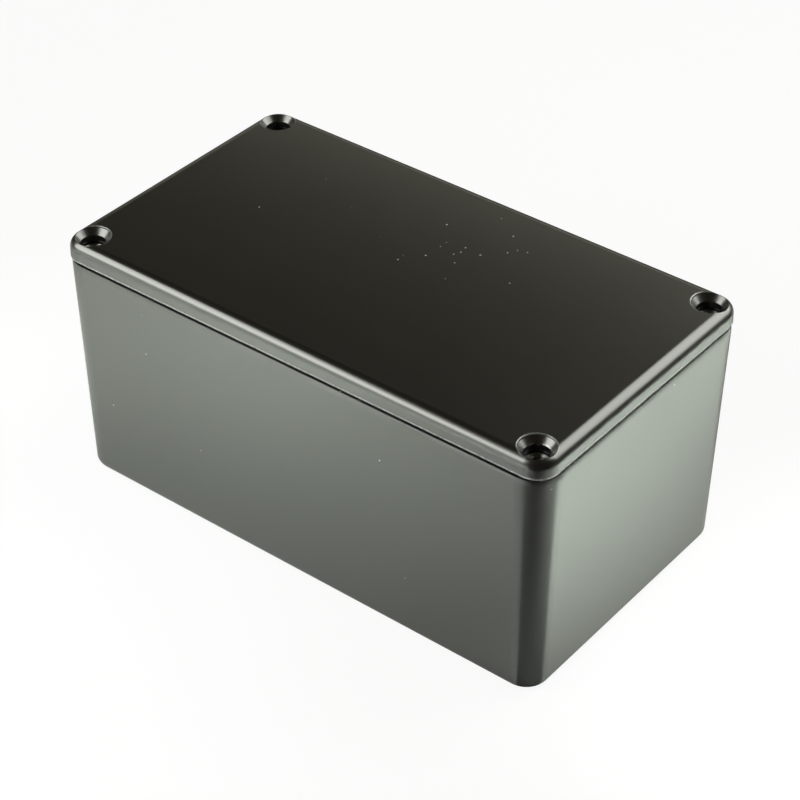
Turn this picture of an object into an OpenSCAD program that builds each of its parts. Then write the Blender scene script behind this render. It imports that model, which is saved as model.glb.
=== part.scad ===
// Die cast box with a lid that laps into its rim and is held by four countersunk screws.
// Millimetres, +Z up, X along the box. The origin is at the centre of the underside.

/* [Box] */
// Length over the rim
box_length = 115; // [80:1:200]
// Width over the rim
box_width = 64.5; // [45:0.5:120]
// Height with the lid on
box_height = 55; // [30:1:120]
// Corner radius of the rim, seen from above
box_corner_r = 6.1; // [5.6:0.1:8]
// Draft of the walls, in degrees
wall_draft = 1.5; // [0.5:0.1:2]
// Thickness of the walls
wall_t = 2.3; // [2:0.1:2.8]
// Thickness of the floor
floor_t = 2.3; // [1.5:0.1:4]
// Radius along the lower outer edge
foot_r = 1.8; // [0.5:0.1:2.4]
// Radius inside, where the walls meet the floor
floor_fillet_r = 1.8; // [0.5:0.1:2]
// Height of the band below the rim that rolls in
rim_band = 1; // [0.6:0.1:1.4]
// How far that band rolls in at the rim
rim_inset = 0.1; // [0.05:0.05:0.25]
// Chamfer on the inner edge of the rim
rim_chamfer = 0.3; // [0.1:0.1:0.6]

/* [Lid] */
// Height of the lid above the rim
lid_height = 4.4; // [4:0.1:6]
// How far the edge of the lid stands back from the edge of the rim
lid_setback = 0.3; // [0:0.05:1]
// Corner radius of the lid, seen from above
lid_corner_r = 4.5; // [3.5:0.1:6]
// Radius along the top edge of the lid
lid_edge_r = 2.1; // [0.8:0.1:2.4]
// Radius along the lower edge of the lid
lid_lower_r = 0.4; // [0.1:0.1:0.5]
// Draft of the lid's edge, in degrees
lid_draft = 2; // [0.5:0.1:3]
// Open seam between the edge of the lid and the rim
seam_gap = 0.2; // [0.1:0.05:0.5]
// How far the open seam runs in under the lid
seam_depth = 0.9; // [0.5:0.1:1]
// Thickness of the lid's panel
panel_t = 2.3; // [1.5:0.1:2.8]
// Depth of the lip below the rim
lip_depth = 3; // [1.5:0.1:6]
// Thickness of the lip
lip_t = 1.6; // [1:0.1:2.5]
// Clearance between the lip and the box
lip_gap = 0.35; // [0.2:0.05:0.6]

/* [Screws] */
// From the edges of the rim to the axis of each screw
screw_inset = 4.85; // [4.6:0.05:6]
// Radius of each pillar at the rim
pillar_r = 4; // [3:0.1:5]
// Draft of the pillars, in degrees
pillar_draft = 0.5; // [0.2:0.1:1]
// Radius of the boss on each pillar
boss_r = 3.1; // [2.8:0.1:3.2]
// Height of the bosses above the rim
boss_height = 1.2; // [0.8:0.1:1.6]
// Clearance round the bosses in the lid
boss_gap = 0.2; // [0.1:0.05:0.25]
// Diameter of the tapped holes
tap_d = 2.9; // [2:0.1:3.6]
// Depth of the tapped holes
tap_depth = 16; // [6:0.5:20]
// Chamfer at the mouth of the tapped holes
tap_chamfer = 0.6; // [0.1:0.1:0.6]
// Diameter of the screw holes through the lid
hole_d = 5; // [3.8:0.1:5.4]
// Diameter of the countersink
sink_d = 7; // [6:0.1:7.4]
// Included angle of the countersink, in degrees
sink_angle = 82; // [80:1:100]
// Straight wall above the countersink's cone
sink_wall = 0.1; // [0.1:0.05:0.5]
// Radius on the rim of the countersink
sink_rim_r = 0.3; // [0.1:0.05:0.4]

/* [Hidden] */
$fn = 72;
paint = "#24231f";
cut = 1; // cutters run this far past the face that they open
drill_point = 59; // half angle of the drill's tip, in degrees
rim_z = box_height - lid_height;
base_axis = [box_length / 2 - box_corner_r, box_width / 2 - box_corner_r];
lid_axis = [for (side = [box_length, box_width]) side / 2 - lid_setback - lid_corner_r];
screw_axis = [box_length / 2 - screw_inset, box_width / 2 - screw_inset];
opening = [box_length - 2 * wall_t, box_width - 2 * wall_t];

// A length that comes from an angle, to the nearest micrometre
function micron(length) = round(length * 1000) / 1000;

// Repeats a shape from the +X +Y corner at all four corners
module corners() {
    for (flip_x = [0, 1], flip_y = [0, 1])
        mirror([flip_x, 0, 0]) mirror([0, flip_y, 0]) children();
}

// Quarter of a disc in the upper right, or a quarter turn further down for each step
module quarter_disc(r, steps = 0) {
    rotate(-90 * steps) intersection() {
        circle(r);
        square(r);
    }
}

// Carries a profile round a rectangle with round corners. The profile is drawn outwards from
// the axis of a corner, and its inner edge runs from bottom to top on that axis.
module swept_block(axis, bottom, top) {
    corners() translate(axis) rotate_extrude(angle = 90) children();
    for (flip = [0, 1])
        mirror([flip, 0, 0]) translate(axis) rotate([90, 0, 0])
            linear_extrude(2 * axis.y) children();
    for (flip = [0, 1])
        mirror([0, flip, 0]) translate([-axis.x, axis.y, 0]) rotate([90, 0, 90])
            linear_extrude(2 * axis.x) children();
    translate([-axis.x, -axis.y, bottom]) cube([2 * axis.x, 2 * axis.y, top - bottom]);
}

// Outside of the box: foot radius, drafted wall and the band that rolls in below the rim
module base_profile() {
    wall_top = rim_z - rim_band;
    roll_r = micron((rim_band * rim_band + rim_inset * rim_inset) / (2 * rim_inset));
    foot_x = micron(box_corner_r - (wall_top - foot_r) * tan(wall_draft));
    polygon([[0, 0], [foot_x - foot_r, 0], [foot_x, foot_r], [box_corner_r, wall_top], [0, rim_z]]);
    translate([foot_x - foot_r, foot_r]) quarter_disc(foot_r, 1);
    intersection() {
        translate([box_corner_r - roll_r, wall_top]) circle(roll_r);
        translate([0, wall_top]) square([box_corner_r, rim_band]);
    }
}

// Inside of the box: floor fillet, drafted wall and the chamfer inside the rim
module cavity_profile() {
    rim_x = box_corner_r - wall_t;
    fillet_top = floor_t + floor_fillet_r;
    fillet_x = micron(rim_x - (rim_z - fillet_top) * tan(wall_draft));
    chamfer_x = rim_x - rim_chamfer * tan(wall_draft);
    polygon([[0, floor_t], [fillet_x - floor_fillet_r, floor_t], [fillet_x, fillet_top],
        [chamfer_x, rim_z - rim_chamfer], [rim_x + rim_chamfer, rim_z],
        [rim_x + rim_chamfer, rim_z + cut], [0, rim_z + cut]]);
    translate([fillet_x - floor_fillet_r, fillet_top]) quarter_disc(floor_fillet_r, 1);
}

// Screw pillar that fills a corner of the box, round on its inner edge and wider at the floor
module pillar() {
    top = rim_z + cut;
    foot = pillar_r + rim_z * tan(pillar_draft);
    head = pillar_r - cut * tan(pillar_draft);
    translate(screw_axis) {
        rotate(180) rotate_extrude(angle = 90)
            polygon([[0, 0], [foot, 0], [head, top], [0, top]]);
        translate([0, screw_inset, 0]) rotate([90, 0, 0]) linear_extrude(screw_inset)
            polygon([[-foot, 0], [screw_inset, 0], [screw_inset, top], [-head, top]]);
        rotate([90, 0, 90]) linear_extrude(screw_inset)
            polygon([[-foot, 0], [0, 0], [0, top], [-head, top]]);
    }
}

// Boss that carries the tapped hole up above the rim
module boss() {
    translate([screw_axis.x, screw_axis.y, rim_z - cut]) cylinder(r = boss_r, h = cut + boss_height);
}

// Blind tapped hole with a drill point, cut down from the top of the boss
module tapped_hole() {
    tap_r = tap_d / 2;
    point = tap_r / tan(drill_point);
    translate([screw_axis.x, screw_axis.y, rim_z + boss_height]) rotate_extrude()
        polygon([[0, -tap_depth - point], [tap_r, -tap_depth], [tap_r, -tap_chamfer],
            [tap_r + tap_chamfer + cut, cut], [0, cut]]);
}

// Countersunk screw hole through the lid and the pocket for the boss, drawn from the rim
module sunk_hole() {
    hole_r = hole_d / 2;
    sink_r = sink_d / 2;
    wall_top = lid_height - sink_rim_r;
    cone_top = wall_top - sink_wall;
    cone_bottom = cone_top - (sink_r - hole_r) / tan(sink_angle / 2);
    pocket_r = boss_r + boss_gap;
    pocket_top = boss_height + boss_gap;
    translate(screw_axis) rotate_extrude() {
        polygon([[0, -cut], [pocket_r, -cut], [pocket_r, pocket_top], [hole_r, pocket_top],
            [hole_r, cone_bottom], [sink_r, cone_top], [sink_r, lid_height + cut], [0, lid_height + cut]]);
        difference() {
            translate([sink_r, wall_top]) square([sink_rim_r, sink_rim_r + cut]);
            translate([sink_r + sink_rim_r, wall_top]) circle(sink_rim_r);
        }
    }
}

// Outside of the lid: drafted and rounded edge, with the open seam cut in under it
module lid_profile() {
    edge_z = lid_height - lid_edge_r;
    lower_x = lid_corner_r - lid_lower_r;
    lower_z = seam_gap + lid_lower_r;
    seat_x = lid_corner_r - seam_depth;
    edge_x = micron(lid_corner_r - (edge_z - lower_z) * tan(lid_draft)) - lid_edge_r;
    polygon([[0, 0], [seat_x, 0], [seat_x, seam_gap], [lower_x, seam_gap], [lid_corner_r, lower_z],
        [edge_x + lid_edge_r, edge_z], [edge_x, lid_height], [0, lid_height]]);
    translate([lower_x, lower_z]) quarter_disc(lid_lower_r, 1);
    translate([edge_x, edge_z]) quarter_disc(lid_edge_r);
}

// Opening of the box between its pillars, drawn in by an inset all round
module opening_outline(inset) {
    r = pillar_r + inset;
    difference() {
        square([opening.x - 2 * inset, opening.y - 2 * inset], center = true);
        corners() translate(screw_axis) {
            circle(r);
            translate([-r, 0]) square(r + screw_inset);
            translate([0, -r]) square(r + screw_inset);
        }
    }
}

module base() {
    color(paint) difference() {
        union() {
            difference() {
                swept_block(base_axis, 0, rim_z) base_profile();
                difference() {
                    swept_block(base_axis, floor_t, rim_z + cut) cavity_profile();
                    corners() pillar();
                }
            }
            corners() boss();
        }
        corners() tapped_hole();
    }
}

module lid() {
    recess_z = lid_height - panel_t;
    color(paint) translate([0, 0, rim_z]) difference() {
        union() {
            swept_block(lid_axis, 0, lid_height) lid_profile();
            translate([0, 0, -lip_depth]) linear_extrude(lip_depth) opening_outline(lip_gap);
        }
        translate([0, 0, -lip_depth - cut]) linear_extrude(lip_depth + cut + recess_z)
            opening_outline(lip_gap + lip_t);
        corners() sunk_hole();
    }
}

base();
lid();
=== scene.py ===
"""Dresses the die cast enclosure: black paint, cut threads, floor, lamps and camera."""

import math

import bpy
import numpy as np
from bpy.props import FloatProperty, FloatVectorProperty, IntProperty, PointerProperty
from mathutils import Matrix, Vector


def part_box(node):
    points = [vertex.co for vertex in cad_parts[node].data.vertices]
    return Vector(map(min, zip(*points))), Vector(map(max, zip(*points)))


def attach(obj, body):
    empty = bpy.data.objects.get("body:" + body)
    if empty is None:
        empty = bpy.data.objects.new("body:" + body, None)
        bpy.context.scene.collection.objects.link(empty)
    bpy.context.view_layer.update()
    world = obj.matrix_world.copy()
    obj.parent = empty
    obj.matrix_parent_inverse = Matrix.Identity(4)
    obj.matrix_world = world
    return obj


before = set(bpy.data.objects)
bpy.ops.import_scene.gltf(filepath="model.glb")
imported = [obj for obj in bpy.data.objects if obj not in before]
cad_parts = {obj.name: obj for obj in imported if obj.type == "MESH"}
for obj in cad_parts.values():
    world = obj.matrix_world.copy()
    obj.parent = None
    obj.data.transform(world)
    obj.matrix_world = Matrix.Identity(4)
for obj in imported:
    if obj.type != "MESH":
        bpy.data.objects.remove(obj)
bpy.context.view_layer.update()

bl_info = {
    "name": "Die Cast Enclosure",
    "version": (1, 0, 0),
    "blender": (4, 5, 0),
    "location": "3D View > Sidebar > Enclosure",
    "description": "Paints the cast base and lid, cuts the screw threads and sets the stage",
    "category": "Object",
}

MM = 0.001
BODY = "root"

# ---------------------------------------------------------------- places on the castings, in metres

SCREW_X, SCREW_Y = 0.05265, 0.0274
BOSS_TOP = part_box("base")[1].z
LID_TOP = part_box("lid")[1].z
RIM = 0.0506
# Painted highlight on the rim, a line of bright metal: how far above and below it, and how far out
# along the box it starts.
RIM_EDGE, RIM_END_X = 0.00004, 0.0555
# Levels between which the lid's lower edge rounds in over the seam.
LID_EDGE_LOW, LID_EDGE_HIGH = 0.0507, 0.0514
# The edge between cone and bore in the lid's screw holes: its radius and its depth.
BORE_EDGE_R, BORE_EDGE_DEPTH = 0.0025, 0.00155
# Countersinks: radius of the straight wall above the cone, and of the rounding on its rim.
SINK_R, SINK_RIM_R = 0.0035, 0.0003
# Tapped holes: radius of the mouth, depth of the chamfer, and a depth below the whole hole.
TAP_MOUTH_R, TAP_CHAMFER, TAP_REACH = 0.00205, 0.0006, 0.02
# Where the paint of the base is nicked, on the front corner just under the rim.
NICK = (0.05685, -0.0288, 0.0484)
CORNERS = {
    "front_right": (1, -1),
    "back_right": (1, 1),
    "back_left": (-1, 1),
    "front_left": (-1, -1),
}

# ---------------------------------------------------------------- levels in the finishes

# Share of the scattered specks that show: away from the dusty patch, and at its middle.
BASE_DUST, LID_DUST = (0.02, 0.02), (0.015, 0.6)
# How far the middle of the dusty patch goes, as a share of its reach.
DUST_MIDDLE_SHARE = 0.2
# Radius of the widest speck and of its solid part, as shares of its width.
SPECK_R, SPECK_SOLID_R = 0.5, 0.42
# Painted highlight lines of bright metal: noise at their faintest and brightest patches, and their
# metal shares for a strength of 1.
PATCH_NOISE, PATCH_METAL_SHARE = (0.3, 0.7), (0.4, 1.6)
# Chips: their solid share, noise cells to their size, and noise where they start and are full.
CHIP_SOLID, CHIP_CELLS, CHIP_NOISE = 0.7, 0.8, (0.57, 0.6)
# The nick: noise cells to the size of a chip, and the reach of its ragged edge in chip sizes.
NICK_CELLS, NICK_REACH = 0.5, 1.2
# How bare the metal is in the tapped holes, in the nick and in the chips.
TAPPED_BARE, NICK_BARE, CHIPS_BARE = 0.15, 0.6, 1.0
# Half the width of the ring of bright metal painted on a countersink's rim as a highlight, as a
# share of the rounding.
SINK_RING = 0.4
# Paint reaches down into the tapped holes by this share of the chamfer.
TAP_PAINTED = 0.95
# Noise at the glossiest and dullest clouds, and how far they move the paint's roughness.
# A mean roughness of 0.27 leaves dark marks after denoising, so it is kept above that.
CLOUD_NOISE, ROUGHNESS_SWING = (0.1, 0.9), 0.008
BRIGHT_METAL_ROUGHNESS = 0.5
# Cut metal: how much finer its lines are down the hole, noise from the painted shade to the painted
# glints, roughness.
LINE_STRETCH, GLINT_NOISE, CUT_ROUGHNESS = 8.0, (0.5, 0.65), (0.55, 0.75)

# ---------------------------------------------------------------- places on the stage, in metres

SENSOR_WIDTH = 36.0  # millimetres
# The flags lie one above the other, clear of the floor: the first one's place and the step.
FIRST_FLAG, FLAG_STEP = 3, 0.1 * MM
# Felt flags over the floor, at the front corner, further out before it, on the right, behind
# and out on the left: the tint setting and the four corners, row by row.
FLAGS = {
    "corner_flag": ("flag_colour", (
        (0.0525, -0.0295), (0.052, -0.107), (0.118, 0.006), (0.105, -0.098))),
    "front_flag": ("front_flag_colour", (
        (0.053, -0.15), (0.022, -1.022), (0.17, -0.012), (1.042, 0.142))),
    "right_flag": ("flag_colour", (
        (0.118, 0.006), (0.118, 0.9), (0.9, 0.006), (0.9, 0.9))),
    "back_flag": ("flag_colour", (
        (-0.70, 0.034), (-0.70, 0.70), (0.055, 0.034), (0.055, 0.70))),
    "left_flag": ("left_flag_colour", (
        (-0.025, -0.086), (-0.035, -0.112), (0.053, -0.086), (0.05, -0.112))),
}


def direction(azimuth, elevation):
    """Unit vector at two angles in radians: azimuth 0 is towards -Y, a quarter turn towards +X."""
    a, e = azimuth, elevation
    return Vector((math.sin(a) * math.cos(e), -math.cos(a) * math.cos(e), math.sin(e)))


def around(azimuth, elevation, distance):
    """Point at that distance from the origin, with both angles in degrees."""
    return direction(math.radians(azimuth), math.radians(elevation)) * distance


MIDDLE = Vector((0.0, 0.0, 0.03))
OPEN_BEAM = 180.0  # degrees
# Lamp: centre, aim, width and height, beam spread in degrees, power setting and tint setting.
LAMPS = {
    "left_softbox": (around(-42, 33, 0.55), MIDDLE, (0.44, 0.30), OPEN_BEAM,
                     "left_lamp", "lamp_colour"),
    "back_softbox": (around(150, 41, 0.50), MIDDLE, (0.42, 0.36), OPEN_BEAM,
                     "back_lamp", "lamp_colour"),
    "back_strip": (around(150, 17, 0.50), MIDDLE, (0.42, 0.087), OPEN_BEAM,
                   "back_strip", "lamp_colour"),
    "back_card": ((-0.10, 0.21, 0.145), (-0.10, 0.0, 0.06), (0.56, 0.05), OPEN_BEAM,
                  "back_card", "card_colour"),
    "left_card": (around(-30, 4, 0.55), MIDDLE, (0.52, 0.08), OPEN_BEAM,
                  "left_card", "floor_lamp_colour"),
    "left_end_lamp": ((-0.095, -0.02, 0.30), (-0.095, -0.02, 0.0), (0.03, 0.05), 14,
                      "left_end_lamp", "floor_lamp_colour"),
    "right_floor_lamp": ((0.098, 0.05, 0.12), (0.098, 0.05, 0.0), (0.02, 0.16), 39,
                         "right_floor_lamp", "floor_lamp_colour"),
    "right_floor_spot": ((0.066, 0.008, 0.30), (0.066, 0.008, 0.0), (0.01, 0.08), 14,
                         "right_floor_spot", "floor_lamp_colour"),
    "left_floor_lamp": ((-0.05, -0.13, 0.30), (-0.05, -0.13, 0.0), (0.08, 0.06), 50,
                        "left_floor_lamp", "floor_lamp_colour"),
    "left_floor_spot": ((-0.05, -0.085, 0.30), (-0.05, -0.085, 0.0), (0.04, 0.02), 16,
                        "left_floor_spot", "floor_lamp_colour"),
}


def linear(hex_colour):
    """RGBA in linear light from an sRGB hex value."""
    srgb = np.array([int(hex_colour[i:i + 2], 16) for i in (1, 3, 5)]) / 255.0
    low, high = srgb / 12.92, ((srgb + 0.055) / 1.055) ** 2.4
    return (*np.where(srgb <= 0.04045, low, high).tolist(), 1.0)


WHITE = linear("#ffffff")


def add_node(tree, kind, inputs=None, **settings):
    """Adds one node, sets its properties, and fills its inputs with values or links."""
    node = tree.nodes.new(kind)
    for name, value in settings.items():
        setattr(node, name, value)
    for key, value in (inputs or {}).items():
        if isinstance(value, bpy.types.NodeSocket):
            tree.links.new(value, node.inputs[key])
        else:
            node.inputs[key].default_value = value
    return node


def new_material(name):
    """An empty node material of that name and its tree."""
    material = bpy.data.materials.new(name)
    material.use_nodes = True
    material.node_tree.nodes.clear()
    return material, material.node_tree


def grid_mesh(name, points, close_v=False, poles=False):
    """A mesh of flat quads over an array of points with shape (u, v, 3).

    close_v joins the last column to the first. With poles, the first and the last row
    have each shrunk to a point, which becomes one vertex with triangles round it.
    """
    count_u, count_v = points.shape[:2]
    index = np.arange(count_u * count_v).reshape(count_u, count_v)
    if poles:
        index[[0, -1]] = index[[0, -1], :1]
    if close_v:
        index = np.hstack([index, index[:, :1]])
    quads = np.stack([index[:-1, :-1], index[1:, :-1], index[1:, 1:], index[:-1, 1:]], axis=-1)
    used, quads = np.unique(quads, return_inverse=True)
    faces = [list(dict.fromkeys(quad)) for quad in quads.reshape(-1, 4).tolist()]
    mesh = bpy.data.meshes.new(name)
    mesh.from_pydata(points.reshape(-1, 3)[used].tolist(), [], faces)
    return mesh


# ---------------------------------------------------------------- finishes


def dust_specks(tree, place, look, sparse, dense):
    """Mask of dust: the cut through scattered balls gives round specks of mixed size.

    A random value in each cell keeps a share of the balls, from dense at the middle of
    the dusty patch to sparse away from it.
    """
    scatter = add_node(tree, "ShaderNodeTexVoronoi",
                       {"Vector": place, "Scale": 1.0 / look.dust_spacing})
    reach = add_node(tree, "ShaderNodeVectorMath", {0: place, 1: look.dust_middle},
                     operation="DISTANCE")
    share = add_node(tree, "ShaderNodeMapRange",
                     {"Value": reach.outputs["Value"],
                      "From Min": DUST_MIDDLE_SHARE * look.dust_reach,
                      "From Max": look.dust_reach, "To Min": dense, "To Max": sparse})
    chance = add_node(tree, "ShaderNodeSeparateColor", {"Color": scatter.outputs["Color"]})
    kept = add_node(tree, "ShaderNodeMath",
                    {0: chance.outputs["Red"], 1: share.outputs["Result"]}, operation="LESS_THAN")
    speck = add_node(tree, "ShaderNodeMapRange",
                     {"Value": scatter.outputs["Distance"],
                      "From Min": SPECK_R * look.dust_size / look.dust_spacing,
                      "From Max": SPECK_SOLID_R * look.dust_size / look.dust_spacing})
    return add_node(tree, "ShaderNodeMath", {0: speck.outputs["Result"], 1: kept.outputs[0]},
                    operation="MULTIPLY").outputs[0]


def axis_distance(tree, place, axis):
    """Offset from a point on an upright axis, and the distance from that axis."""
    offset = add_node(tree, "ShaderNodeVectorMath", {0: place, 1: axis},
                      operation="SUBTRACT").outputs[0]
    level = add_node(tree, "ShaderNodeVectorMath", {0: offset, 1: (1.0, 1.0, 0.0)},
                     operation="MULTIPLY")
    radius = add_node(tree, "ShaderNodeVectorMath", {0: level.outputs[0]}, operation="LENGTH")
    return offset, radius.outputs["Value"]


def painted_highlight_line(tree, place, look, highlight_share, low, high):
    """Mask of a patchy line of bright metal between two levels: a painted highlight along an edge.
    """
    level = add_node(tree, "ShaderNodeSeparateXYZ", {"Vector": place}).outputs["Z"]
    line = add_node(tree, "ShaderNodeMath",
                    {0: level, 1: 0.5 * (low + high), 2: 0.5 * (high - low)}, operation="COMPARE")
    patches = add_node(tree, "ShaderNodeTexNoise",
                       {"Vector": place, "Scale": 1.0 / look.highlight_patch_size, "Detail": 2.0})
    share = add_node(tree, "ShaderNodeMapRange",
                     {"Value": patches.outputs["Fac"],
                      "From Min": PATCH_NOISE[0], "From Max": PATCH_NOISE[1],
                      "To Min": PATCH_METAL_SHARE[0] * highlight_share, "To Max": PATCH_METAL_SHARE[1] * highlight_share})
    return add_node(tree, "ShaderNodeMath", {0: line.outputs[0], 1: share.outputs["Result"]},
                    operation="MULTIPLY").outputs[0]


def chipped_edge(tree, place, look, middle, edge_r):
    """Mask of chips round a circular edge, more of them on the side that a screw rubbed.

    The chips lie where a point's distance from the circle, taken in the upright plane
    through the axis, is under their size.
    """
    offset, radius = axis_distance(tree, place, middle)
    out = add_node(tree, "ShaderNodeMath", {0: radius, 1: edge_r}, operation="SUBTRACT")
    height = add_node(tree, "ShaderNodeSeparateXYZ", {"Vector": offset})
    section = add_node(tree, "ShaderNodeCombineXYZ",
                       {"X": out.outputs[0], "Y": height.outputs["Z"]})
    away = add_node(tree, "ShaderNodeVectorMath", {0: section.outputs[0]}, operation="LENGTH")
    ring = add_node(tree, "ShaderNodeMapRange",
                    {"Value": away.outputs["Value"],
                     "From Min": look.chip_size, "From Max": CHIP_SOLID * look.chip_size})
    rubbed = add_node(tree, "ShaderNodeVectorMath", {0: offset, 1: look.rub},
                      operation="DOT_PRODUCT")
    chips = add_node(tree, "ShaderNodeTexNoise",
                     {"Vector": place, "Scale": CHIP_CELLS / look.chip_size, "Detail": 2.0})
    level = add_node(tree, "ShaderNodeMath",
                     {0: chips.outputs["Fac"], 1: rubbed.outputs["Value"]}, operation="ADD")
    fleck = add_node(tree, "ShaderNodeMapRange",
                     {"Value": level.outputs[0],
                      "From Min": CHIP_NOISE[0], "From Max": CHIP_NOISE[1]})
    return add_node(tree, "ShaderNodeMath",
                    {0: ring.outputs["Result"], 1: fleck.outputs["Result"]},
                    operation="MULTIPLY").outputs[0]


def lid_wear_and_highlights(tree, place, look):
    """Mask of bare metal on the lid.

    It has chips on the bore of the front hole, and lines of bright metal painted as
    highlights along the lower edge and on the rims of the holes.
    """
    bore_edge = (SCREW_X, -SCREW_Y, LID_TOP - BORE_EDGE_DEPTH)
    chips = chipped_edge(tree, place, look, bore_edge, BORE_EDGE_R)
    # Painted highlights: patchy lines of bright metal along the lid's lower edge and on the
    # countersink rims.
    seam = painted_highlight_line(tree, place, look, look.lid_edge_highlight, LID_EDGE_LOW, LID_EDGE_HIGH)
    rims = painted_highlight_line(tree, place, look, look.hole_rim_highlight, LID_TOP - SINK_RIM_R, LID_TOP + SINK_RIM_R)
    folded = add_node(tree, "ShaderNodeVectorMath", {0: place}, operation="ABSOLUTE").outputs[0]
    _, radius = axis_distance(tree, folded, (SCREW_X, SCREW_Y, 0.0))
    half = SINK_RING * SINK_RIM_R
    ring = add_node(tree, "ShaderNodeMath", {0: radius, 1: SINK_R + half, 2: half},
                    operation="COMPARE").outputs[0]
    rims = add_node(tree, "ShaderNodeMath", {0: rims, 1: ring}, operation="MULTIPLY").outputs[0]
    bare = add_node(tree, "ShaderNodeMath", {0: chips, 1: seam}, operation="MAXIMUM").outputs[0]
    return add_node(tree, "ShaderNodeMath", {0: bare, 1: rims}, operation="MAXIMUM").outputs[0]


def base_wear_and_highlights(tree, place, look):
    """Mask of bare metal on the base.

    It has the walls of the tapped holes, chips on the mouth of the front one, a line of
    bright metal painted as a highlight on the rim at both ends of the box, and one nick.
    """
    folded = add_node(tree, "ShaderNodeVectorMath", {0: place}, operation="ABSOLUTE").outputs[0]
    offset, radius = axis_distance(tree, folded, (SCREW_X, SCREW_Y, BOSS_TOP))
    depth = add_node(tree, "ShaderNodeSeparateXYZ", {"Vector": offset}).outputs["Z"]
    tapped = add_node(tree, "ShaderNodeMath",
                      {0: radius, 1: TAP_MOUTH_R - TAP_PAINTED * TAP_CHAMFER},
                      operation="LESS_THAN").outputs[0]
    upper = add_node(tree, "ShaderNodeMath", {0: depth, 1: -TAP_REACH},
                     operation="GREATER_THAN").outputs[0]
    tapped = add_node(tree, "ShaderNodeMath", {0: tapped, 1: upper},
                      operation="MULTIPLY").outputs[0]
    away = add_node(tree, "ShaderNodeVectorMath", {0: place, 1: NICK}, operation="DISTANCE")
    ragged = add_node(tree, "ShaderNodeTexNoise",
                      {"Vector": place, "Scale": NICK_CELLS / look.chip_size, "Detail": 2.0})
    reach = add_node(tree, "ShaderNodeMath",
                     {0: ragged.outputs["Fac"], 1: NICK_REACH * look.chip_size},
                     operation="MULTIPLY")
    nick = add_node(tree, "ShaderNodeMath", {0: away.outputs["Value"], 1: reach.outputs[0]},
                    operation="LESS_THAN").outputs[0]
    chips = chipped_edge(tree, place, look, (SCREW_X, -SCREW_Y, BOSS_TOP), TAP_MOUTH_R)
    # Painted highlight: a patchy line of bright metal along the rim's edge, kept to the two ends of
    # the box.
    rim = painted_highlight_line(tree, place, look, look.rim_end_highlight, RIM - RIM_EDGE, RIM + RIM_EDGE)
    along = add_node(tree, "ShaderNodeSeparateXYZ", {"Vector": folded}).outputs["X"]
    ends = add_node(tree, "ShaderNodeMath", {0: along, 1: RIM_END_X},
                    operation="GREATER_THAN").outputs[0]
    bare = add_node(tree, "ShaderNodeMath", {0: rim, 1: ends}, operation="MULTIPLY").outputs[0]
    for mask, share in ((tapped, TAPPED_BARE), (nick, NICK_BARE), (chips, CHIPS_BARE)):
        part = add_node(tree, "ShaderNodeMath", {0: mask, 1: share}, operation="MULTIPLY")
        bare = add_node(tree, "ShaderNodeMath", {0: bare, 1: part.outputs[0]},
                        operation="MAXIMUM").outputs[0]
    return bare


def painted_casting(name, look, dust, bright_metal_mask):
    """Black stoved paint on a pressure die casting.

    Paint sprayed on a smooth casting and baked: near black, with a semi-gloss skin
    that throws clear but soft-edged highlights, a faint orange peel, specks of dust,
    bright bare metal where it has been cut or rubbed away, and thin lines of bright metal
    painted on edges and hole rims as highlights. Its index is above that of real paint,
    and was matched to how strongly the object mirrors.
    """
    material, tree = new_material(name)
    place = add_node(tree, "ShaderNodeTexCoord").outputs["Object"]
    peel = add_node(tree, "ShaderNodeTexNoise",
                    {"Vector": place, "Scale": 1.0 / look.peel_size, "Detail": 2.0})
    grain = add_node(tree, "ShaderNodeTexNoise",
                     {"Vector": place, "Scale": 1.0 / look.grain_size, "Detail": 1.0})
    cloud = add_node(tree, "ShaderNodeTexNoise",
                     {"Vector": place, "Scale": 1.0 / look.cloud_size, "Detail": 3.0})
    colour = add_node(tree, "ShaderNodeMix",
                      {"Factor": cloud.outputs["Fac"], "A": look.paint_dark, "B": look.paint_light},
                      data_type="RGBA").outputs["Result"]
    rough = add_node(tree, "ShaderNodeMapRange",
                     {"Value": cloud.outputs["Fac"],
                      "From Min": CLOUD_NOISE[0], "From Max": CLOUD_NOISE[1],
                      "To Min": look.roughness - ROUGHNESS_SWING,
                      "To Max": look.roughness + ROUGHNESS_SWING}).outputs["Result"]
    speck = dust_specks(tree, place, look, *dust)
    metal = bright_metal_mask(tree, place, look)
    for mask, tone in ((speck, look.dust_colour), (metal, look.metal_and_highlight_colour)):
        colour = add_node(tree, "ShaderNodeMix", {"Factor": mask, "A": colour, "B": tone},
                          data_type="RGBA").outputs["Result"]
    rough = add_node(tree, "ShaderNodeMix",
                     {"Factor": metal, "A": rough, "B": BRIGHT_METAL_ROUGHNESS}).outputs["Result"]
    bump = add_node(tree, "ShaderNodeBump",
                    {"Height": peel.outputs["Fac"], "Distance": look.peel_height})
    bump = add_node(tree, "ShaderNodeBump",
                    {"Height": grain.outputs["Fac"], "Distance": look.grain_height,
                     "Normal": bump.outputs["Normal"]})
    paint = add_node(tree, "ShaderNodeBsdfPrincipled",
                     {"Base Color": colour, "Metallic": metal, "Roughness": rough,
                      "IOR": look.paint_ior, "Normal": bump.outputs["Normal"]})
    add_node(tree, "ShaderNodeOutputMaterial", {"Surface": paint.outputs["BSDF"]})
    return material


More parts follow.
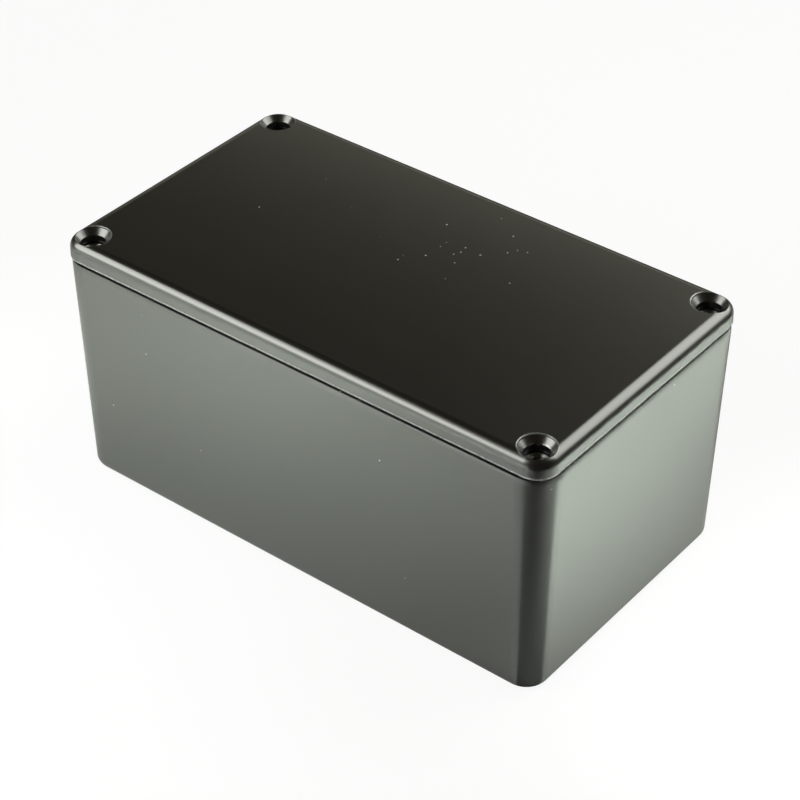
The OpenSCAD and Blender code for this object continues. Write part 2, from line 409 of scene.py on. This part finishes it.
def cut_aluminium(name, look):
    """Bare aluminium as a tap leaves it.

    Freshly cut casting alloy: a grey metal with fine lines round the hole. Its dark grey
    is painted shade for the inside of the hole, and its bright places are painted glints.
    """
    material, tree = new_material(name)
    place = add_node(tree, "ShaderNodeTexCoord").outputs["Object"]
    stretch = add_node(tree, "ShaderNodeMapping",
                       {"Vector": place, "Scale": (1.0, 1.0, LINE_STRETCH)}).outputs["Vector"]
    lines = add_node(tree, "ShaderNodeTexNoise",
                     {"Vector": stretch, "Scale": 1.0 / look.tool_mark_and_glint_size, "Detail": 2.0})
    # Painted glints: sparse bright spots on the tool lines; elsewhere the dark tone is painted
    # shade.
    glint = add_node(tree, "ShaderNodeMapRange",
                     {"Value": lines.outputs["Fac"],
                      "From Min": GLINT_NOISE[0], "From Max": GLINT_NOISE[1]})
    colour = add_node(tree, "ShaderNodeMix",
                      {"Factor": glint.outputs["Result"],
                       "A": look.cut_metal_shade, "B": look.cut_metal_glint},
                      data_type="RGBA").outputs["Result"]
    rough = add_node(tree, "ShaderNodeMapRange",
                     {"Value": lines.outputs["Fac"],
                      "To Min": CUT_ROUGHNESS[0], "To Max": CUT_ROUGHNESS[1]})
    metal = add_node(tree, "ShaderNodeBsdfPrincipled",
                     {"Base Color": colour, "Metallic": 1.0, "Roughness": rough.outputs["Result"]})
    add_node(tree, "ShaderNodeOutputMaterial", {"Surface": metal.outputs["BSDF"]})
    return material


def white_sheet(name, stage):
    """Matt white paper.

    A flat even white that keeps the soft shadow under the object: camera rays, and to a
    smaller share mirror and glass rays, see plain white mixed into the lit paper.
    """
    material, tree = new_material(name)
    path = add_node(tree, "ShaderNodeLightPath")
    mirrored = add_node(tree, "ShaderNodeMath",
                        {0: path.outputs["Is Glossy Ray"], 1: path.outputs["Is Transmission Ray"]},
                        operation="MAXIMUM")
    mirrored = add_node(tree, "ShaderNodeMath",
                        {0: mirrored.outputs[0], 1: stage.mirror_glow}, operation="MULTIPLY")
    share = add_node(tree, "ShaderNodeMath",
                     {0: path.outputs["Is Camera Ray"], 1: stage.floor_glow,
                      2: mirrored.outputs[0]}, operation="MULTIPLY_ADD")
    paper = add_node(tree, "ShaderNodeBsdfDiffuse", {"Color": stage.floor_colour})
    glow = add_node(tree, "ShaderNodeEmission", {"Color": WHITE, "Strength": 1.0})
    both = add_node(tree, "ShaderNodeMixShader",
                    {0: share.outputs[0], 1: paper.outputs[0], 2: glow.outputs[0]})
    add_node(tree, "ShaderNodeOutputMaterial", {"Surface": both.outputs[0]})
    return material


def grey_felt(name, colour):
    """Matt felt of a flag: an even grey for the paint to mirror."""
    material, tree = new_material(name)
    felt = add_node(tree, "ShaderNodeBsdfDiffuse", {"Color": colour})
    add_node(tree, "ShaderNodeOutputMaterial", {"Surface": felt.outputs[0]})
    return material


# ---------------------------------------------------------------- shapes


def thread_ridge(centre, mouth, thread):
    """Points of one internal thread ridge, shape (steps, 3, 3).

    A triangle carried down a helix: at angle t the ridge's mid height is
    mouth - pitch * (t / 2 pi + 1/2). Its two feet lie on the bore, or on the chamfer
    that widens one to one above it, and its crest stands inward by the thread's
    height, which runs out to nothing at both ends.
    """
    feet, crest = np.array([-1.0, 0.0, 1.0]), np.array([0.0, 1.0, 0.0])
    turns = thread.thread_length / thread.thread_pitch
    t = np.linspace(0.0, 2.0 * math.pi * turns, int(turns * thread.thread_steps) + 1)
    run_out = np.clip(np.minimum(t, t[-1] - t) / math.pi, 0.0, 1.0)[:, None]
    half = 0.5 * thread.thread_pitch
    depth = thread.thread_pitch * t[:, None] / (2.0 * math.pi) + half + run_out * half * feet
    wall = thread.bore_radius + np.clip(thread.chamfer - depth, 0.0, None) + thread.thread_sink
    r = wall - (thread.thread_height + thread.thread_sink) * run_out * crest
    return np.stack([centre[0] + r * np.cos(t)[:, None],
                     centre[1] + r * np.sin(t)[:, None], mouth - depth], axis=-1)


# ---------------------------------------------------------------- properties


class EnclosureFinish(bpy.types.PropertyGroup):
    """Colours and grain of the paint and of the cut metal."""

    paint_dark: FloatVectorProperty(
        name="Paint, Dark", description="Darker tone of the black paint",
        subtype="COLOR", size=4, min=0.0, max=1.0, default=linear("#080807"))
    paint_light: FloatVectorProperty(
        name="Paint, Light", description="Lighter tone of the black paint",
        subtype="COLOR", size=4, min=0.0, max=1.0, default=linear("#0c0c0b"))
    paint_ior: FloatProperty(
        name="Paint IOR", description="Index that sets how strongly the paint mirrors",
        default=2.5, min=1.0, max=4.0)
    roughness: FloatProperty(
        name="Paint Roughness", description="Mean roughness of the semi-gloss skin",
        default=0.285, min=0.0, max=1.0, subtype="FACTOR")
    peel_size: FloatProperty(
        name="Orange Peel Size", description="Width of the ripples in the paint",
        default=1.2 * MM, unit="LENGTH")
    peel_height: FloatProperty(
        name="Orange Peel Height", description="Depth of the ripples in the paint",
        default=0.004 * MM, unit="LENGTH", precision=6)
    grain_size: FloatProperty(
        name="Grain Size", description="Width of the fine grain in the paint",
        default=0.25 * MM, unit="LENGTH")
    grain_height: FloatProperty(
        name="Grain Height", description="Depth of the fine grain in the paint",
        default=0.001 * MM, unit="LENGTH", precision=6)
    cloud_size: FloatProperty(
        name="Cloud Size", description="Width of the slow changes of tone and gloss",
        default=14.0 * MM, unit="LENGTH")
    dust_colour: FloatVectorProperty(
        name="Dust", description="Colour of the dust specks",
        subtype="COLOR", size=4, min=0.0, max=1.0, default=linear("#e6e5df"))
    dust_size: FloatProperty(
        name="Dust Size", description="Widest speck of dust",
        default=0.36 * MM, unit="LENGTH")
    dust_spacing: FloatProperty(
        name="Dust Spacing", description="Distance between scattered specks",
        default=1.8 * MM, unit="LENGTH")
    dust_middle: FloatVectorProperty(
        name="Dust Middle", description="Middle of the dusty patch on the lid",
        subtype="TRANSLATION", unit="LENGTH", size=3, default=(0.008, 0.014, LID_TOP))
    dust_reach: FloatProperty(
        name="Dust Reach", description="How far the dusty patch spreads",
        default=20.0 * MM, unit="LENGTH")
    chip_size: FloatProperty(
        name="Chip Size", description="Width of the chips on the front screw hole's edge",
        default=0.26 * MM, unit="LENGTH")
    rub: FloatVectorProperty(
        name="Rubbed Side", description="Side of the front screw hole with more chips, per metre",
        subtype="XYZ", size=3, default=(38.0, 8.0, 0.0))
    # Colour of the real chips, the nick and the tapped holes, and of the painted highlight lines.
    metal_and_highlight_colour: FloatVectorProperty(
        name="Chip And Highlight Colour", description="Bright aluminium where the paint is gone",
        subtype="COLOR", size=4, min=0.0, max=1.0, default=linear("#e4e5e6"))
    # The next four settings shape lines of bright metal painted as highlights along the lid's lower
    # edge, the countersink rims and the rim's ends.
    highlight_patch_size: FloatProperty(
        name="Highlight Patch Size", description="Length of the patches of thin paint along the edges",
        default=0.8 * MM, unit="LENGTH")
    lid_edge_highlight: FloatProperty(
        name="Lid Edge Highlight", description="Share of bare metal along the lower edge of the lid",
        default=0.5, min=0.0, max=1.0, subtype="FACTOR")
    hole_rim_highlight: FloatProperty(
        name="Hole Rim Highlight", description="Share of bare metal on the rims of the countersinks",
        default=0.28, min=0.0, max=1.0, subtype="FACTOR")
    rim_end_highlight: FloatProperty(
        name="Rim End Highlight", description="Share of bare metal on the rim at both ends of the box",
        default=0.22, min=0.0, max=1.0, subtype="FACTOR")
    # The dark tone of the cut metal is painted shade for the inside of the tapped holes, and the
    # light tone gives painted glints.
    cut_metal_shade: FloatVectorProperty(
        name="Cut Metal, Dark", description="Darker tone of the bare aluminium",
        subtype="COLOR", size=4, min=0.0, max=1.0, default=linear("#2e2e2c"))
    cut_metal_glint: FloatVectorProperty(
        name="Cut Metal, Light", description="Lighter tone of the bare aluminium",
        subtype="COLOR", size=4, min=0.0, max=1.0, default=linear("#d8d8d4"))
    tool_mark_and_glint_size: FloatProperty(
        name="Tool Mark And Glint Size", description="Width of the marks that the tap leaves",
        default=0.4 * MM, unit="LENGTH")


class EnclosureThread(bpy.types.PropertyGroup):
    """Sizes of the threads in the four pillars."""

    thread_pitch: FloatProperty(
        name="Pitch", description="Rise of the thread in one turn",
        default=0.6 * MM, unit="LENGTH")
    thread_height: FloatProperty(
        name="Height", description="How far the ridge stands into the hole",
        default=0.22 * MM, unit="LENGTH")
    thread_sink: FloatProperty(
        name="Foot", description="How far the ridge's foot is sunk in the wall",
        default=0.06 * MM, unit="LENGTH")
    thread_length: FloatProperty(
        name="Length", description="Depth over which the thread is cut",
        default=12.0 * MM, unit="LENGTH")
    thread_steps: IntProperty(
        name="Steps", description="Points on each turn", default=48, min=12)
    bore_radius: FloatProperty(
        name="Bore Radius", description="Radius of the tapped hole",
        default=TAP_MOUTH_R - TAP_CHAMFER, unit="LENGTH")
    chamfer: FloatProperty(
        name="Chamfer", description="Depth of the chamfer at the mouth of the hole",
        default=TAP_CHAMFER, unit="LENGTH")


class EnclosureStage(bpy.types.PropertyGroup):
    """Camera, floor, room, lamps and flags."""

    azimuth: FloatProperty(
        name="Azimuth", description="Camera's turn round the object",
        subtype="ANGLE", default=math.radians(38.195))
    elevation: FloatProperty(
        name="Elevation", description="Camera's angle above the floor",
        subtype="ANGLE", default=math.radians(37.201))
    roll: FloatProperty(
        name="Roll", description="Camera's tilt about its own axis",
        subtype="ANGLE", default=math.radians(0.1))
    distance: FloatProperty(
        name="Distance", description="From the camera to the aim point",
        unit="LENGTH", default=0.468806)
    lens: FloatProperty(
        name="Lens", description="Focal length on a 36 mm sensor, in millimetres",
        unit="CAMERA", default=108.08)
    aim: FloatVectorProperty(
        name="Aim", description="Point at the middle of the picture",
        subtype="TRANSLATION", unit="LENGTH", size=3, default=(0.002565, -0.001821, 0.026025))
    floor_size: FloatProperty(
        name="Floor", description="Side of the floor sheet", unit="LENGTH", default=8.0)
    floor_colour: FloatVectorProperty(
        name="Floor Colour", description="Colour of the paper",
        subtype="COLOR", size=4, min=0.0, max=1.0, default=linear("#f4f4f4"))
    floor_glow: FloatProperty(
        name="Floor White", description="Share of plain white in the floor as it is seen",
        subtype="FACTOR", min=0.0, max=1.0, default=0.92)
    mirror_glow: FloatProperty(
        name="Mirrored White",
        description="Share of plain white in the floor as mirrors and glass show it",
        subtype="FACTOR", min=0.0, max=1.0, default=0.05)
    room: FloatVectorProperty(
        name="Room", description="Colour of the dim room",
        subtype="COLOR", size=4, min=0.0, max=1.0, default=linear("#322c23"))
    lamp_colour: FloatVectorProperty(
        name="Lamp Colour", description="Tint of the softboxes and of the strip at the back",
        subtype="COLOR", size=4, min=0.0, max=1.0, default=linear("#fcfff6"))
    card_colour: FloatVectorProperty(
        name="Card Colour", description="Tint of the card behind the object",
        subtype="COLOR", size=4, min=0.0, max=1.0, default=linear("#fffee9"))
    floor_lamp_colour: FloatVectorProperty(
        name="Floor Lamp Colour", description="Tint of the lamps over the floor and the left card",
        subtype="COLOR", size=4, min=0.0, max=1.0, default=linear("#f2fff0"))
    left_lamp: FloatProperty(
        name="Left Softbox", description="Power of the soft lamp at the front left",
        unit="POWER", default=1.53)
    back_lamp: FloatProperty(
        name="Back Softbox", description="Power of the soft lamp at the back right",
        unit="POWER", default=1.237)
    right_floor_lamp: FloatProperty(
        name="Right Floor Lamp", description="Power of the strip lamp over the floor on the right",
        unit="POWER", default=0.0492)
    right_floor_spot: FloatProperty(
        name="Right Floor Spot", description="Power of the small lamp over the floor on the right",
        unit="POWER", default=0.0054)
    left_end_lamp: FloatProperty(
        name="Left End Lamp", description="Power of the lamp over the floor beyond the left end",
        unit="POWER", default=0.0036)
    left_floor_lamp: FloatProperty(
        name="Left Floor Lamp", description="Power of the wide lamp over the floor on the left",
        unit="POWER", default=0.0926)
    left_floor_spot: FloatProperty(
        name="Left Floor Spot", description="Power of the small lamp over the floor on the left",
        unit="POWER", default=0.0021)
    back_strip: FloatProperty(
        name="Back Strip", description="Power of the low strip lamp at the back right",
        unit="POWER", default=0.0997)
    back_card: FloatProperty(
        name="Back Card", description="Power of the lit card behind the object",
        unit="POWER", default=0.0834)
    left_card: FloatProperty(
        name="Left Card", description="Power of the low lit card at the front left",
        unit="POWER", default=0.21)
    flag_colour: FloatVectorProperty(
        name="Flag Colour", description="Grey of the felt flags that darken the reflections",
        subtype="COLOR", size=4, min=0.0, max=1.0, default=linear("#8a8a8a"))
    front_flag_colour: FloatVectorProperty(
        name="Front Flag Colour", description="Darker grey of the flag out before the front corner",
        subtype="COLOR", size=4, min=0.0, max=1.0, default=linear("#404040"))
    left_flag_colour: FloatVectorProperty(
        name="Left Flag Colour", description="Pale grey of the flag out before the long side",
        subtype="COLOR", size=4, min=0.0, max=1.0, default=linear("#c8c8c8"))


# ---------------------------------------------------------------- operators


def paint_node(node, material):
    """Gives a casting one material in every slot."""
    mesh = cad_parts[node].data
    for index in range(len(mesh.materials)):
        mesh.materials[index] = material


class ENCLOSURE_OT_paint_base(bpy.types.Operator):
    """Paint the cast base"""

    bl_idname = "enclosure.paint_base"
    bl_label = "Paint Base"

    def execute(self, context):
        look = context.scene.enclosure_finish
        paint_node("base", painted_casting("stoved_black_paint_base", look, BASE_DUST, base_wear_and_highlights))
        return {"FINISHED"}


class ENCLOSURE_OT_paint_lid(bpy.types.Operator):
    """Paint the cast lid"""

    bl_idname = "enclosure.paint_lid"
    bl_label = "Paint Lid"

    def execute(self, context):
        look = context.scene.enclosure_finish
        paint_node("lid", painted_casting("stoved_black_paint_lid", look, LID_DUST, lid_wear_and_highlights))
        return {"FINISHED"}


class ENCLOSURE_OT_cut_threads(bpy.types.Operator):
    """Cut the threads in the four pillars"""

    bl_idname = "enclosure.cut_threads"
    bl_label = "Cut Threads"

    def execute(self, context):
        thread = context.scene.enclosure_thread
        metal = cut_aluminium("tapped_aluminium", context.scene.enclosure_finish)
        for corner, (sx, sy) in CORNERS.items():
            points = thread_ridge((sx * SCREW_X, sy * SCREW_Y), BOSS_TOP, thread)
            mesh = grid_mesh("thread_" + corner, points, close_v=True, poles=True)
            mesh.materials.append(metal)
            piece = bpy.data.objects.new("thread_" + corner, mesh)
            context.scene.collection.objects.link(piece)
            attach(piece, BODY)
        return {"FINISHED"}


def add_lamp(scene, name, centre, aim, size, spread, power, colour):
    """A rectangular soft lamp that faces aim; spread narrows its beam as a grid does."""
    light = bpy.data.lights.new(name, "AREA")
    light.shape = "RECTANGLE"
    light.size, light.size_y = size
    light.energy = power
    light.color = colour[:3]
    light.spread = math.radians(spread)
    lamp = bpy.data.objects.new(name, light)
    lamp.location = centre
    lamp.rotation_euler = (Vector(aim) - Vector(centre)).to_track_quat("-Z", "Y").to_euler()
    lamp.visible_camera = False
    # A narrow beam is there to light the floor, and is not to be mirrored.
    lamp.visible_glossy = spread == OPEN_BEAM
    scene.collection.objects.link(lamp)


def add_sheet(scene, name, outline, level, material):
    """A flat four-cornered sheet of the stage at one level."""
    near, left, right, far = (np.array([*corner, level]) for corner in outline)
    mesh = grid_mesh(name, np.array([[near, left], [right, far]]))
    mesh.materials.append(material)
    sheet = bpy.data.objects.new(name, mesh)
    scene.collection.objects.link(sheet)
    return sheet


def dim_room(stage):
    """World that is plain white to the camera and a dim room to all else."""
    world = bpy.data.worlds.new("grey_room")
    world.use_nodes = True
    tree = world.node_tree
    tree.nodes.clear()
    path = add_node(tree, "ShaderNodeLightPath")
    room = add_node(tree, "ShaderNodeBackground", {"Color": stage.room, "Strength": 1.0})
    white = add_node(tree, "ShaderNodeBackground", {"Color": WHITE, "Strength": 1.0})
    both = add_node(tree, "ShaderNodeMixShader",
                    {0: path.outputs["Is Camera Ray"], 1: room.outputs[0], 2: white.outputs[0]})
    add_node(tree, "ShaderNodeOutputWorld", {"Surface": both.outputs[0]})
    return world


def photo_camera(stage):
    """Camera at the photograph's viewing angle: the aim point plus distance along its back."""
    back = direction(stage.azimuth, stage.elevation)
    right = Vector((math.cos(stage.azimuth), math.sin(stage.azimuth), 0.0))
    up = back.cross(right)
    turn = Matrix.Rotation(stage.roll, 3, "Z")
    pose = (Matrix((right, up, back)).transposed() @ turn).to_4x4()
    pose.translation = Vector(stage.aim) + back * stage.distance
    view = bpy.data.cameras.new("photo_camera")
    view.sensor_width, view.lens = SENSOR_WIDTH, stage.lens
    camera = bpy.data.objects.new("photo_camera", view)
    camera.matrix_world = pose
    return camera


class ENCLOSURE_OT_set_stage(bpy.types.Operator):
    """Set the floor, the lamps, the room and the camera"""

    bl_idname = "enclosure.set_stage"
    bl_label = "Set Stage"

    def execute(self, context):
        scene = context.scene
        stage = scene.enclosure_stage
        half = 0.5 * stage.floor_size
        outline = ((-half, -half), (-half, half), (half, -half), (half, half))
        add_sheet(scene, "floor_sheet", outline, 0.0, white_sheet("matt_white_paper", stage))
        for layer, (name, (setting, outline)) in enumerate(FLAGS.items(), FIRST_FLAG):
            felt = grey_felt("felt_" + name, getattr(stage, setting))
            flag = add_sheet(scene, name, outline, FLAG_STEP * layer, felt)
            flag.visible_camera = flag.visible_diffuse = flag.visible_shadow = False
        for name, (centre, aim, size, spread, setting, tint) in LAMPS.items():
            power, colour = getattr(stage, setting), getattr(stage, tint)
            add_lamp(scene, name, centre, aim, size, spread, power, colour)
        scene.world = dim_room(stage)
        camera = photo_camera(stage)
        scene.collection.objects.link(camera)
        scene.camera = camera
        scene.view_settings.view_transform = "Standard"
        return {"FINISHED"}


# ---------------------------------------------------------------- add-on

PANEL_ROWS = {
    "enclosure_finish": ("enclosure.paint_base", "enclosure.paint_lid"),
    "enclosure_thread": ("enclosure.cut_threads",),
    "enclosure_stage": ("enclosure.set_stage",),
}


class ENCLOSURE_PT_panel(bpy.types.Panel):
    """Lists the enclosure's pieces and their sizes"""

    bl_idname = "ENCLOSURE_PT_panel"
    bl_label = "Die Cast Enclosure"
    bl_space_type = "VIEW_3D"
    bl_region_type = "UI"
    bl_category = "Enclosure"

    def draw(self, context):
        for group, operators in PANEL_ROWS.items():
            for operator in operators:
                self.layout.operator(operator)
            settings = getattr(context.scene, group)
            for name in settings.__annotations__:
                self.layout.prop(settings, name)


GROUPS = {
    "enclosure_finish": EnclosureFinish,
    "enclosure_thread": EnclosureThread,
    "enclosure_stage": EnclosureStage,
}
CLASSES = (
    *GROUPS.values(),
    ENCLOSURE_OT_paint_base,
    ENCLOSURE_OT_paint_lid,
    ENCLOSURE_OT_cut_threads,
    ENCLOSURE_OT_set_stage,
    ENCLOSURE_PT_panel,
)


def register():
    for cls in CLASSES:
        bpy.utils.register_class(cls)
    for name, group in GROUPS.items():
        setattr(bpy.types.Scene, name, PointerProperty(type=group))


def unregister():
    for name in GROUPS:
        delattr(bpy.types.Scene, name)
    for cls in reversed(CLASSES):
        bpy.utils.unregister_class(cls)


def main():
    """Registers the classes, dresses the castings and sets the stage."""
    register()
    bpy.ops.enclosure.paint_base()
    bpy.ops.enclosure.paint_lid()
    bpy.ops.enclosure.cut_threads()
    bpy.ops.enclosure.set_stage()


if __name__ == "__main__":
    main()
